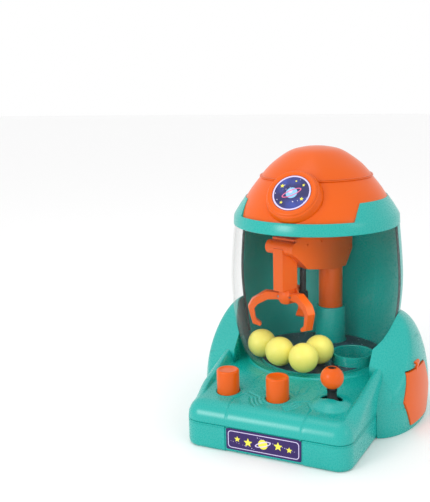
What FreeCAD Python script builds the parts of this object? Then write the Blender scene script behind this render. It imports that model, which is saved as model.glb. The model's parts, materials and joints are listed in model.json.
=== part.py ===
import FreeCAD, Part
import math
import os

# Tabletop claw crane shaped like a rocket. Millimetres, +Z up. The origin is on the upright axis of
# the round body, at the flat underside. The controls face -Y and +X is the player's right.

V = FreeCAD.Vector

# ---- driving dimensions ----
wall = 2.4                 # moulded shells
gap = 0.3                  # running clearance beside moving pieces
fit = 0.2                  # gap between shells that are screwed together

front_y = -148.0           # front face of the base
base_half = 80.0           # half width near the front
base_back = 86.0           # radius of the rounded back
corner = 15.0              # front corner radius in plan
tray_top = 25.0            # parting line of the base
console_back = -12.0       # the console stops here and the back shell takes over
floor_top = 50.0           # play floor
window_edge = 8.0          # degrees in front of the side, where window and back shell meet

column_x, column_y = -1.5, 54.0
boom_heading = math.radians(-107.0)  # where the boom points at rest, from +X
reach = 76.0               # column to claw hub
hub_z = 117.0

button_radius = 10.7
button_top = 66.5
button_places = {"left": (-49.1, -112.9), "middle": (0.9, -112.8)}
stick_x, stick_y, stick_pivot_z = 51.0, -106.5, 40.0
knob_radius, knob_z = 10.5, 70.0           # ball on the stick
ball_radius = 14.7
ball_places = ((-49.5, -27.5), (-23.0, -45.0), (5.5, -54.5), (12.0, -25.5))

chute_x, chute_y, chute_radius = 40.6, -4.6, 21.0
chute_top = 59.8

pod_x, pod_z = 78.0, 20.0                  # centre of the egg-shaped side pods
pod_radii = (36.0, 72.0, 86.0)
door_y, door_z = -19.0, 31.5               # centre of the prize door, seen from the side
hinge_x, hinge_z = 107.4, 61.4
facet = (V(72.5, -51, 63), V(86, -2, 108), V(104.2, -39, 57.8))   # flat at each pod's upper front, right side

# Outer radius of the round body by height: (height, radius)
back_line = ((25.2, 85.6), (40, 80.5), (65, 79.5), (84, 82), (109, 85.6), (134.6, 86.9), (160, 85.6), (190.8, 82.6))
window_line = ((47.2, 60), (51, 67), (60, 75), (84, 82), (109, 85.6), (134.6, 86.9), (160, 85.6), (190.8, 82.6))
collar_line = ((191, 82.6), (197, 82.9), (203, 80.9), (211, 76), (218.6, 70.6))
nose_line = ((193, 79.2), (203, 78.2), (211, 74.4), (218.6, 69.2), (226.8, 63.9), (238.1, 55.1))
tip_line = ((238.5, 54.8), (250.5, 43.6), (262.3, 26.4), (267.3, 0))
collar_step_z, collar_step_x = 203.0, 56.8


# ---- shape helpers ----
def box(x0, x1, y0, y1, z0, z1):
    return Part.makeBox(x1 - x0, y1 - y0, z1 - z0, V(x0, y0, z0))


def rod(x, y, z0, z1, radius):
    return Part.makeCylinder(radius, z1 - z0, V(x, y, z0))


def tube(x, y, z0, z1, outer, inner):
    return rod(x, y, z0, z1, outer).cut(rod(x, y, z0 - 1, z1 + 1, inner))


def prism(points, direction):
    wire = Part.makePolygon(points + points[:1])
    return Part.Face(wire).extrude(direction)


def grown(line, by):
    """The same profile moved outwards by a distance, square to the curve."""
    result = []
    for i, (z, r) in enumerate(line):
        z0, r0 = line[max(i - 1, 0)]
        z1, r1 = line[min(i + 1, len(line) - 1)]
        run = math.hypot(z1 - z0, r1 - r0)
        tilt = -(r1 - r0) / run
        level = i in (0, len(line) - 1) and r > 0
        result.append((z if level else z + by * tilt, r + by * (z1 - z0) / run if r > 0 else 0.0))
    return tuple(result)


def curve(line):
    spline = Part.BSplineCurve()
    spline.interpolate([V(r, 0, z) for z, r in line])
    return spline.toShape()


def turned_shell(line, thickness, start=0.0, sweep=360.0):
    """A shell of revolution about Z. Angles are in degrees from +X."""
    inner = grown(line, -thickness)
    edges = [curve(line)]
    if line[-1][1] > 0:
        edges.append(Part.makeLine(V(line[-1][1], 0, line[-1][0]), V(inner[-1][1], 0, inner[-1][0])))
    else:
        inner = inner[:-1] + ((line[-1][0] - thickness, 0.0),)
        edges.append(Part.makeLine(V(0, 0, line[-1][0]), V(0, 0, inner[-1][0])))
    edges.append(curve(inner))
    edges.append(Part.makeLine(V(inner[0][1], 0, inner[0][0]), V(line[0][1], 0, line[0][0])))
    face = Part.Face(Part.Wire(Part.__sortEdges__(edges)))
    shape = face.revolve(V(0, 0, 0), V(0, 0, 1), sweep)
    return shape.rotate(V(0, 0, 0), V(0, 0, 1), start) or shape


def turned_solid(line):
    edges = [curve(line)]
    edges.append(Part.makeLine(V(line[-1][1], 0, line[-1][0]), V(0, 0, line[-1][0])))
    edges.append(Part.makeLine(V(0, 0, line[-1][0]), V(0, 0, line[0][0])))
    edges.append(Part.makeLine(V(0, 0, line[0][0]), V(line[0][1], 0, line[0][0])))
    return Part.Face(Part.Wire(Part.__sortEdges__(edges))).revolve(V(0, 0, 0), V(0, 0, 1), 360)


def base_outline(inset, z):
    """Plan of the base: straight sides, rounded front corners and a round back."""
    half, front = base_half - inset, front_y + inset
    radius, back = corner - inset, base_back - inset
    bend = radius * (1 - math.sqrt(0.5))
    edges = [Part.makeLine(V(-half + radius, front, z), V(half - radius, front, z))]
    edges.append(Part.Arc(V(half - radius, front, z), V(half - bend, front + bend, z),
                          V(half, front + radius, z)).toShape())
    edges.append(Part.makeLine(V(half, front + radius, z), V(back, 0, z)))
    edges.append(Part.Arc(V(back, 0, z), V(0, back, z), V(-back, 0, z)).toShape())
    edges.append(Part.makeLine(V(-back, 0, z), V(-half, front + radius, z)))
    edges.append(Part.Arc(V(-half, front + radius, z), V(-half + bend, front + bend, z),
                          V(-half + radius, front, z)).toShape())
    return Part.Face(Part.Wire(edges))


def base_block(inset, z0, z1):
    return base_outline(inset, z0).extrude(V(0, 0, z1 - z0))


def egg(x, shrink):
    """The side pod's egg, shrunk all round by a distance."""
    ball = Part.makeSphere(1.0)
    scale = FreeCAD.Matrix()
    scale.scale(V(*(r - shrink for r in pod_radii)))
    ball = ball.transformGeometry(scale)
    ball.translate(V(x, 0, pod_z))
    return ball


def door_hexagon(grow, x0, x1):
    """The prize door seen from the side: a hexagon with its points to the front and back."""
    tall, wide, flat = 26.0 + grow, 31.0 + grow * 1.2, 20.0 + grow * 0.6
    points = [(-flat, tall), (-wide, 0), (-flat, -tall), (flat, -tall), (wide, 0), (flat, tall)]
    return prism([V(x0, door_y + y, door_z + z) for y, z in points], V(x1 - x0, 0, 0))


def along_boom(shape):
    """Places a shape drawn with the column at the origin and the boom along +X."""
    shape.rotate(V(0, 0, 0), V(0, 0, 1), math.degrees(boom_heading))
    shape.translate(V(column_x, column_y, 0))
    return shape


# ---- base ----
prize_path = (22.0, 104.0, -37.0, 3.0)       # x and y limits of the way out for the balls
battery_bay = (-42.0, 18.0, -62.0, -4.0)
screw_spots = ((-66, -136), (66, -136), (-70, -50), (66, -60), (-66, 36), (66, 36), (-20, 76), (20, 76))
foot_spots = ((-66, -118), (66, -118), (-44, 62), (44, 62))
plate_half, plate_low, plate_high = 36.4, 3.4, 24.2
rail_foot = 68.0


def base_tray():
    """Open box with the screw pillars, the pocket for the name plate and the holes underneath."""
    x0, x1, y0, y1 = prize_path
    tray = base_block(0, 0, tray_top).cut(base_block(wall, wall, tray_top + 1))
    tray = tray.cut(box(x1 - 30, x1, y0, y1, 6, tray_top + 1))
    for x, y in screw_spots:
        tray = tray.fuse(rod(x, y, wall - 0.1, tray_top - 1, 4.2)).cut(rod(x, y, -1, tray_top, 1.7))
        tray = tray.cut(rod(x, y, -1, 1.8, 3.6))
    for x, y in foot_spots:
        tray = tray.cut(rod(x, y, -1, 1.6, 7.2))
    bx0, bx1, by0, by1 = battery_bay
    tray = tray.cut(box(bx0, bx1, by0, by1, -1, wall + 1))
    tray = tray.cut(box(-plate_half, plate_half, front_y - 1, front_y + 1.2, plate_low, plate_high))
    tray = tray.cut(box(-8, 8, base_back - 6, base_back + 2, 11, 17))
    return tray.removeSplitter()


def rubber_feet():
    return Part.makeCompound([rod(x, y, 0, 1.5, 7.0) for x, y in foot_spots])


def bottom_screws():
    screws = []
    for x, y in screw_spots:
        head = rod(x, y, 0.4, 1.7, 3.3).cut(box(x - 2.2, x + 2.2, y - 0.5, y + 0.5, 0, 1.0))
        head = head.cut(box(x - 0.5, x + 0.5, y - 2.2, y + 2.2, 0, 1.0))
        screws.append(head.fuse(rod(x, y, 1.6, 20, 1.5)))
    return Part.makeCompound(screws)


def name_plate():
    """The front plate, glued into its pocket."""
    return box(-plate_half + fit, plate_half - fit, front_y + 0.1, front_y + 1.1, plate_low + fit, plate_high - fit)


def deck_profile(drop, x0, x1):
    """Side view of the console, from the front edge up to the window's sill."""
    line = [(front_y - 1, 18), (front_y - 1, 31 - drop), (front_y + 3, 38 - drop), (front_y + 8, 41 - drop),
            (front_y + 21, 43.6 - drop), (-70, 49 - drop), (console_back, 49 - drop), (console_back, 18)]
    return prism([V(x0, y, z) for y, z in line], V(x1 - x0, 0, 0))


def rail_profile(drop):
    """Side view of the raised rails at both sides of the console."""
    line = [(front_y + 6, 18), (front_y + 6, 40 - drop), (-56, 61 - drop), (-40, 64 - drop),
            (console_back, 66 - drop), (console_back, 18)]
    solids = []
    for side in (-1, 1):
        foot = [V(side * 90, y, z) for y, z in line]
        slab = prism(foot, V(-side * 23, 0, 0))
        slope = prism([V(side * (rail_foot + drop), front_y, 38), V(side * (rail_foot + 10 + drop), front_y, 70),
                       V(side * 40, front_y, 70), V(side * 40, front_y, 38)], V(0, 140, 0))
        solids.append(slab.cut(slope))
    return solids


def console_deck():
    """Upper half of the base with the openings for both buttons and the stick."""
    outer = deck_profile(0, -90, 90)
    for rail in rail_profile(0):
        outer = outer.fuse(rail)
    outer = outer.common(base_block(0, tray_top, 80))
    inner = deck_profile(wall, -90, 90)
    for rail in rail_profile(wall):
        inner = inner.fuse(rail)
    inner = inner.common(base_block(wall, tray_top - 1, 80))
    bulge_height = 7.6
    bulge = Part.makeSphere(24, V(stick_x, stick_y, 45 + bulge_height - 24))
    outer = outer.fuse(bulge.common(box(20, 79, -135, -75, 40, 60)))
    hollow = Part.makeSphere(24 - wall, V(stick_x, stick_y, 45 + bulge_height - 24))
    inner = inner.fuse(hollow.common(box(20, 79, -135, -75, 38, 60)))
    deck = outer.cut(inner)
    deck = deck.cut(rod(0, 0, 20, 46.4, 57.5))
    deck = deck.cut(turned_solid(grown(window_line, fit)))
    deck = deck.cut(rod(0, 0, 46.2, 48, 60.4))
    for x, y in button_places.values():
        deck = deck.cut(rod(x, y, 30, 60, button_radius + gap))
    deck = deck.cut(box(stick_x - 10.5, stick_x + 10.5, stick_y - 5.2, stick_y + 5.2, 36, 60))
    x0, x1, y0, y1 = prize_path
    deck = deck.cut(box(60, x1, y0, y1, 20, 45))
    return deck.removeSplitter()


def play_floor():
    """Floor inside the window, with the holes for the column and the prize chute."""
    front = rod(0, 0, 46.6, floor_top, 57.2)
    back = rod(0, 0, 46.6, floor_top, 75.8).common(box(-90, 90, console_back + 5, 90, 40, 60))
    floor = front.fuse(back)
    floor = floor.cut(rod(chute_x, chute_y, 40, 60, chute_radius + fit))
    floor = floor.cut(rod(column_x, column_y, 40, 60, 13.6))
    return floor.removeSplitter()


def floor_sticker():
    """Printed film on the play floor."""
    film = rod(0, 0, floor_top, floor_top + 0.3, 56.5)
    film = film.fuse(rod(0, 0, floor_top, floor_top + 0.3, 73).common(box(-90, 90, console_back + 6, 90, 40, 60)))
    film = film.cut(rod(chute_x, chute_y, 40, 60, chute_radius + 1.2))
    return film.cut(rod(column_x, column_y, 40, 60, 17.6)).removeSplitter()


def chute_ring():
    """Round well that the balls are dropped into."""
    ring = tube(chute_x, chute_y, 44.5, chute_top, chute_radius, chute_radius - 2.0)
    return ring.cut(tube(0, 0, 40, floor_top, 90, 57.2))


def ball_ramp():
    """Sloping trough below the chute, which lets a ball roll out to the prize door."""
    x0, x1, y0, y1 = prize_path
    rim = 43.8
    side = [V(x0, y0, 11), V(x0, y0, rim), V(x1 - 20, y0, rim), V(x1 - 6, y0, 30), V(x1 - 6, y0, 7)]
    trough = prism(side, V(0, y1 - y0, 0))
    room = prism([V(x0 + 2, y0 + 2, 13), V(x0 + 2, y0 + 2, 60), V(x1 + 9, y0 + 2, 60), V(x1 + 9, y0 + 2, 8.4)],
                 V(0, y1 - y0 - 4, 0))
    return trough.cut(room)


# ---- side pods and prize door ----
def beyond_facet(side, depth):
    """All that lies in front of a pod's flat facet, with the facet moved inwards by a depth."""
    a, b, c = (V(side * p.x, p.y, p.z) for p in facet)
    out = (c - a).cross(b - a) * side
    out.normalize()
    block = Part.makeBox(300, 300, 150, V(-150, -150, 0))
    block.Placement = FreeCAD.Placement(a - out * depth, FreeCAD.Rotation(V(0, 0, 1), out))
    return block


def pod(side):
    outer = egg(side * pod_x, 0).cut(beyond_facet(side, 0))
    inner = egg(side * pod_x, wall).cut(beyond_facet(side, wall))
    shell = outer.cut(inner)
    shell = shell.fuse(egg(side * pod_x, wall / 2).common(box(-130, 130, -90, 90, 0, wall)))
    shell = shell.common(box(*((0, 130) if side > 0 else (-130, 0)), -90, 90, 0, 120))
    shell = shell.cut(base_block(-fit, -1, tray_top + 0.1))
    shell = shell.cut(base_block(-fit, tray_top, 66).common(box(-100, 100, -160, console_back + 0.2, 0, 90)))
    body = turned_solid(grown(back_line, fit))
    return shell.cut(body).cut(rod(0, 0, 20, 26, base_back))


def only_outer(shape, side):
    """The piece of a cut shell that is furthest from the body."""
    return max(shape.Solids, key=lambda s: side * s.CenterOfMass.x)


def right_pod():
    opening = door_hexagon(0.5, 92, 120)
    shell = only_outer(pod(1), 1).cut(opening)
    opening.translate(V(0, 0, 0.8))          # room for the door's top edge as it swings
    shell = shell.cut(opening)
    notch = Part.makeCylinder(3.3, 11.0, V(hinge_x, door_y - 5.5, hinge_z), V(0, 1, 0))
    shell = shell.cut(notch).cut(box(100, 115, door_y - 5.5, door_y + 5.5, hinge_z - 6, hinge_z))
    shell = shell.cut(Part.makeCylinder(1.02, 13.2, V(hinge_x, door_y - 6.6, hinge_z), V(0, 1, 0)))
    return max(shell.Solids, key=lambda s: s.Volume)


def left_pod():
    return only_outer(pod(-1), -1)


def prize_door():
    """Hexagonal flap that follows the pod's surface, with its hinge knuckle at the top."""
    flap = door_hexagon(0, 92, 120).common(egg(pod_x, -0.9)).cut(egg(pod_x, wall))
    knuckle = Part.makeCylinder(2.9, 10.0, V(hinge_x, door_y - 5, hinge_z), V(0, 1, 0))
    tab = box(hinge_x - 1.6, hinge_x + 2.2, door_y - 5, door_y + 5, hinge_z - 6, hinge_z)
    bore = Part.makeCylinder(1.06, 40.0, V(hinge_x, door_y - 20, hinge_z), V(0, 1, 0))
    return flap.fuse(tab).fuse(knuckle).cut(bore).removeSplitter()


def door_hinge_pin():
    return Part.makeCylinder(1.0, 13.0, V(hinge_x, door_y - 6.5, hinge_z), V(0, 1, 0))


# ---- round body ----
def back_shell():
    shell = turned_shell(back_line, wall, -window_edge + 0.8, 180 + 2 * window_edge - 1.6)
    x0, x1, y0, y1 = prize_path
    return shell.cut(box(60, x1, y0, y1, 20, 45))


def window():
    return turned_shell(window_line, 1.6, 180 + window_edge + 0.8, 180 - 2 * window_edge - 1.6)


def window_seal(side):
    """Dark strip that closes the joint between the window and the back shell."""
    start = -window_edge - 0.6 if side > 0 else 180 + window_edge - 0.6
    line = tuple(p for p in back_line if p[0] > 60)
    return turned_shell(line, 2.2, start, 1.2)


# ---- nose, collar and porthole ----
porthole_tilt = math.radians(38.0)
porthole_face = V(0, -70.2, 230.2)
porthole_out = V(0, -math.cos(porthole_tilt), math.sin(porthole_tilt))
picture_radius = 18.6
recess_radius = picture_radius + fit
boss_radius = 24.0
flange_radius = boss_radius + 1.6
flange_low, flange_high = -5.0, -2.2        # depth of the flange behind the boss's face


def porthole_disc(radius, low, high):
    return Part.makeCylinder(radius, high - low, porthole_face + porthole_out * low, porthole_out)


def collar():
    """Ring that carries the nose. It is low at the front and stepped up round the sides and back."""
    ring = turned_shell(collar_line, 2.8)
    front = box(-collar_step_x, collar_step_x, -100, 0, collar_step_z, 230)
    nose_room = turned_solid(grown(nose_line, fit))
    return ring.cut(front).cut(nose_room).cut(porthole_disc(flange_radius + gap, -12, 2))


def nose_cone():
    return turned_shell(nose_line, wall).cut(porthole_disc(boss_radius + fit, -30, 10))


def nose_tip():
    return turned_shell(tip_line, wall).cut(porthole_disc(boss_radius + fit, -30, 10))


def porthole_boss():
    """Round boss for the picture, let into the nose, with a flange that lies outside it."""
    boss = porthole_disc(boss_radius, -14, 0)
    boss = boss.cut(porthole_disc(boss_radius - wall, -20, -wall))
    boss = boss.cut(porthole_disc(recess_radius, -0.8, 1))
    ring = porthole_disc(flange_radius, flange_low, flange_high)
    ring = ring.cut(porthole_disc(boss_radius - 0.1, flange_low - 1, 0))
    nose = turned_solid(grown(nose_line, fit)).fuse(turned_solid(grown(tip_line[:-1], fit)))
    return boss.fuse(ring.cut(nose)).removeSplitter()


def porthole_sticker():
    return porthole_disc(picture_radius, -0.7, -0.2)


# ---- column and drive ----
def column_tube():
    return tube(column_x, column_y, floor_top, 89, 16.3, 13.4)


def drive_box():
    """Closed gearbox that lifts and turns the arm."""
    return box(column_x - 24, column_x + 24, column_y - 20, column_y + 14, wall, 44)


def drive_motor():
    motor = Part.makeCylinder(10, 27, V(column_x - 56, column_y - 8, 16), V(1, 0, 0))
    return motor.fuse(Part.makeCylinder(1, 4.8, V(column_x - 29, column_y - 8, 16), V(1, 0, 0)))


def guide_post():
    """Steel post on which the lift sleeve slides."""
    return rod(column_x, column_y, 44, 160, 4.0)


def lift_sleeve():
    return tube(column_x, column_y, 58, 152, sleeve_radius, 4.1)


def arm_tube():
    return tube(column_x, column_y, 60, boom_low, 12.8, sleeve_radius + 0.1)


# ---- boom and claw, drawn along +X from the column ----
boom_low = 133.5
boom_top = 177.0
boom_half = 13.5
boom_back = -21.0
boom_end = reach + 7.0
sleeve_radius = 9.5
rod_at, rod_side, rod_radius = 58.0, 5.6, 3.3
boom_screw_spots = ((-13.6, 168), (-13.6, 151), (36, 168), (60, 168))
carrier_back, carrier_front, carrier_half = reach - 8.0, reach + 16.0, 6.0
carrier_low, carrier_top = 124.0, 167.5
knuckle_x, knuckle_radius, knuckle_half = reach + 8.0, 7.0, boom_half + 3.5


def boom_side(inset):
    """Side view of the boom: deep at the column, with its front cut away below towards the claw."""
    outline = [(boom_back, boom_low + 17), (boom_back + 12, boom_low), (14, boom_low), (60, boom_low + 9),
               (boom_end, boom_low + 28), (boom_end, boom_top), (boom_back, boom_top)]
    face = Part.Face(Part.makePolygon([V(x, 0, z) for x, z in outline + outline[:1]]))
    return face.makeOffset2D(-inset, 2) if inset else face


def boom_half_shell(side):
    """One moulded half of the boom. The halves meet in the upright middle plane."""
    outer = boom_side(0).extrude(V(0, side * boom_half, 0))
    inner = boom_side(wall).extrude(V(0, side * (boom_half - wall), 0))
    shell = outer.cut(inner)
    shell = shell.cut(rod(0, 0, boom_low - 8, boom_low + 12, sleeve_radius + 0.1))
    shell = shell.cut(rod(rod_at, rod_side, boom_low - 8, boom_low + 20, rod_radius + 0.4))
    shell = shell.cut(carrier_block(0.1))
    for x, z in boom_screw_spots:
        shell = shell.cut(Part.makeCylinder(1.2, 60, V(x, -30, z), V(0, 1, 0)))
        shell = shell.cut(Part.makeCylinder(2.6, 20, V(x, -boom_half + 1.4, z), V(0, -1, 0)))
    return along_boom(shell.removeSplitter())


def boom_screws():
    screws = []
    for x, z in boom_screw_spots:
        head = Part.makeCylinder(2.4, 1.2, V(x, -boom_half + 0.2, z), V(0, 1, 0))
        screws.append(head.fuse(Part.makeCylinder(1.1, boom_half * 2 - 2, V(x, -boom_half + 0.3, z), V(0, 1, 0))))
    return along_boom(Part.makeCompound(screws))


def carrier_block(slack):
    """Flat stem with a round cross knuckle at its top, all larger by a slack."""
    stem = box(carrier_back - slack, carrier_front + slack, -carrier_half - slack, carrier_half + slack,
               carrier_low - slack, carrier_top + slack)
    across = Part.makeCylinder(knuckle_radius + slack, 2 * (knuckle_half + slack),
                               V(knuckle_x, -knuckle_half - slack, carrier_top), V(0, 1, 0))
    return stem.fuse(across)


def claw_carrier():
    """Flat stem that hangs from the boom's knuckle and holds the claw's hub."""
    return along_boom(carrier_block(0).removeSplitter())


def claw_hub():
    """Round hub below the stem, with a slot for each finger."""
    hub = Part.makeSphere(11.5, V(reach, 0, hub_z)).common(box(reach - 20, reach + 20, -20, 20, 109, 123.9))
    hub = hub.fuse(rod(reach, 0, 121, 123.9, 9))
    for turn in finger_turns:
        slot = box(finger_hinge - 4.6, 30, -finger_half - gap, finger_half + gap, 100, 130)
        slot.rotate(V(0, 0, 0), V(0, 0, 1), turn)
        slot.translate(V(reach, 0, 0))
        hub = hub.cut(slot)
    hub = hub.fuse(rod(reach, 0, 108, 123.9, 3.2)).removeSplitter()
    for turn in finger_turns:
        bore = Part.makeCylinder(1.02, 12.0, V(finger_hinge, -6.0, hub_z), V(0, 1, 0))
        bore.rotate(V(0, 0, 0), V(0, 0, 1), turn)
        bore.translate(V(reach, 0, 0))
        hub = hub.cut(bore)
    return along_boom(hub)


finger_turns = (-48.0, 72.0, 192.0)      # from the boom's direction
finger_half = 4.5
finger_hinge = 10.0
finger_side = ((8.4, 120.4), (22, 122.5), (36.5, 114), (41, 106), (36.5, 88.5), (29, 85.5), (27, 88), (33, 93),
               (34.5, 104.5), (31, 108.8), (21, 113.5), (8.4, 113.6))


def finger(turn):
    """Bent claw finger, drawn along +X from the hub's centre."""
    shape = prism([V(r, -finger_half, z) for r, z in finger_side], V(0, 2 * finger_half, 0))
    knuckle = Part.makeCylinder(3.8, 2 * finger_half, V(finger_hinge, -finger_half, hub_z), V(0, 1, 0))
    bore = Part.makeCylinder(1.06, 30, V(finger_hinge, -15, hub_z), V(0, 1, 0))
    return place_finger(shape.fuse(knuckle).cut(bore).removeSplitter(), turn)


def place_finger(shape, turn):
    shape.rotate(V(0, 0, 0), V(0, 0, 1), turn)
    shape.translate(V(reach, 0, 0))
    return along_boom(shape)


def finger_pins():
    pins = []
    for turn in finger_turns:
        pin = Part.makeCylinder(1.0, 11.0, V(finger_hinge, -5.5, hub_z), V(0, 1, 0))
        pins.append(place_finger(pin, turn))
    return Part.makeCompound(pins)


def claw_rod():
    """Thin black rod with its block, which draws the claw shut."""
    shape = rod(rod_at, rod_side, 104, 148, rod_radius)
    shape = shape.fuse(box(rod_at - 3.5, rod_at + 3.5, rod_side - 3, rod_side + 4, 104, 118))
    return along_boom(shape.removeSplitter())


# ---- controls ----
def deck_height(y):
    """Height of the console's top at a distance from the front."""
    return 43.6 + (y - (front_y + 21)) / (-70 - (front_y + 21)) * 5.4


def button(x, y):
    """Tall round cap with a flange below the deck and a stem that reaches the switch."""
    flange = deck_height(y - 14) - wall - 0.5
    cap = rod(x, y, flange - 1.6, button_top, button_radius)
    cap = cap.makeFillet(1.2, [e for e in cap.Edges if e.BoundBox.ZMin > button_top - 0.1])
    cap = cap.fuse(rod(x, y, flange - 1.6, flange, 13.0))
    cap = cap.cut(rod(x, y, flange - 2, button_top - wall, button_radius - wall))
    return cap.fuse(rod(x, y, 30.5, button_top - 1, 2.6)).removeSplitter()


def button_spring(x, y):
    """Return spring, as the plain tube that it fills."""
    return tube(x, y, spring_foot, deck_height(y - 14) - wall - 2.2, 10.4, 8.6)


spring_foot = 20.6
board_low, board_high = 17.0, 18.6


def control_board():
    """Circuit board under the controls."""
    return box(-66, 68, -130, -92, board_low, board_high)


def board_posts():
    return Part.makeCompound([rod(x, y, wall, board_low, 3) for x in (-60, 24, 62) for y in (-126, -96)])


def spring_seats():
    """Rings on the board that the button springs stand in."""
    return Part.makeCompound([rod(x, y, board_high, spring_foot - 0.1, 11.6).cut(rod(x, y, 10, 30, 7.4))
                              for x, y in button_places.values()])


def switches():
    """Push switches below the buttons."""
    return Part.makeCompound([box(x - 4, x + 4, y - 4, y + 4, board_high, 24).fuse(rod(x, y, 23.9, 25.6, 2))
                              for x, y in button_places.values()])


def joystick_ball():
    """Ball with a flat recess on top, cut flat below where it sits on the stem's shoulder."""
    ball = Part.makeSphere(knob_radius, V(stick_x, stick_y, knob_z))
    ball = ball.cut(rod(stick_x, stick_y, knob_z + 8.6, knob_z + 20, 4.2))
    ball = ball.cut(rod(stick_x, stick_y, knob_z - 20, knob_z - 9.2, knob_radius))
    return ball.cut(rod(stick_x, stick_y, knob_z - 20, knob_z - 4, 3.0))


def joystick_stem():
    stem = rod(stick_x, stick_y, stick_pivot_z - 3, knob_z - 9.4, 4.2)
    stem = stem.fuse(rod(stick_x, stick_y, knob_z - 9.5, knob_z - 4, 2.9))
    stem = stem.fuse(Part.makeCylinder(6, 7.6, V(stick_x, stick_y - 3.8, stick_pivot_z), V(0, 1, 0)))
    stem = stem.fuse(box(stick_x - 1.5, stick_x + 1.5, stick_y - 2, stick_y + 2, 26, stick_pivot_z))
    bore = Part.makeCylinder(1.56, 30, V(stick_x, stick_y - 15, stick_pivot_z), V(0, 1, 0))
    return stem.cut(bore).removeSplitter()


def joystick_pin():
    return Part.makeCylinder(1.5, 17.0, V(stick_x, stick_y - 8.5, stick_pivot_z), V(0, 1, 0))


def joystick_bracket():
    """Two cheeks that hold the stick's pin, standing on the board."""
    cheeks = []
    for y0, y1 in ((stick_y - 8.5, stick_y - 5.0), (stick_y + 5.0, stick_y + 8.5)):
        cheeks.append(box(stick_x - 4, stick_x + 4, y0, y1, board_high, stick_pivot_z + 3))
    bracket = cheeks[0].fuse(cheeks[1])
    bracket = bracket.fuse(box(stick_x - 13, stick_x + 13, stick_y - 8.5, stick_y + 8.5, board_high, board_high + 2))
    return bracket.cut(Part.makeCylinder(1.52, 30, V(stick_x, stick_y - 15, stick_pivot_z), V(0, 1, 0))).removeSplitter()


def stick_switches():
    """Two lever switches, one at each side of the stick's tail."""
    return Part.makeCompound([box(x - 2, x + 2, stick_y - 4, stick_y + 4, 20.7, 31)
                              for x in (stick_x - 10, stick_x + 10)])


# ---- power ----
def battery_box():
    """Open-bottomed case for three round cells."""
    x0, x1, y0, y1 = battery_bay
    case = box(x0 - 2, x1 + 2, y0 - 2, y1 + 2, wall, 22)
    return case.cut(box(x0 + 1, x1 - 1, y0 + 1, y1 - 1, 0, 20.5))


cell_radius, cell_length = 7.1, 49.0


def cell_spots():
    x0, x1, y0, y1 = battery_bay
    middle = (x0 + x1) / 2
    return [(middle + step * 15.6, (y0 + y1) / 2) for step in (-1, 0, 1)]


def battery_cells():
    cells = []
    for x, y in cell_spots():
        cell = Part.makeCylinder(cell_radius, cell_length, V(x, y - cell_length / 2, 11), V(0, 1, 0))
        cells.append(cell.fuse(Part.makeCylinder(2.7, 1.2, V(x, y + cell_length / 2 - 0.1, 11), V(0, 1, 0))))
    return Part.makeCompound(cells)


def battery_contacts():
    plates = []
    for x, y in cell_spots():
        plates.append(box(x - 4, x + 4, y - 28, y - 27.5, 4, 17))
        plates.append(box(x - 4, x + 4, y + 27.5, y + 28, 4, 17))
    return Part.makeCompound(plates)


def battery_door():
    x0, x1, y0, y1 = battery_bay
    plate = box(x0 + gap, x1 - gap, y0 + gap, y1 - gap, 0.2, 2.2)
    middle = (x0 + x1) / 2
    plate = plate.cut(rod(middle, y0 + 6, -1, 4, 1.6)).cut(rod(middle, y0 + 6, -1, 1.4, 3.2))
    for step in range(5):
        plate = plate.cut(box(middle - 9, middle + 9, y1 - 8 - step * 2.4, y1 - 7 - step * 2.4, 0, 0.8))
    return plate


def battery_door_screw():
    x0, x1, y0, y1 = battery_bay
    middle = (x0 + x1) / 2
    head = rod(middle, y0 + 6, 0.4, 1.3, 3.0).cut(box(middle - 2, middle + 2, y0 + 5.5, y0 + 6.5, 0, 0.9))
    head = head.cut(box(middle - 0.5, middle + 0.5, y0 + 4, y0 + 8, 0, 0.9))
    return head.fuse(rod(middle, y0 + 6, 1.2, 3.4, 1.3))


def power_switch_body():
    return box(-7.5, 7.5, base_back - 12, base_back - 6.3, 10, 18)


def power_slider():
    return box(-7.6, -0.4, base_back - 6.0, base_back - 4.2, 11.6, 16.4).fuse(
        box(-6, -2, base_back - 4.3, base_back + 1.4, 12.2, 15.8))


def speaker():
    return rod(-46, 20, wall + 0.1, wall + 5.1, 14).fuse(rod(-46, 20, wall + 5, 12, 8))


def prize_ball(x, y):
    return Part.makeSphere(ball_radius, V(x, y, floor_top + 0.3 + ball_radius))


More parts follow.
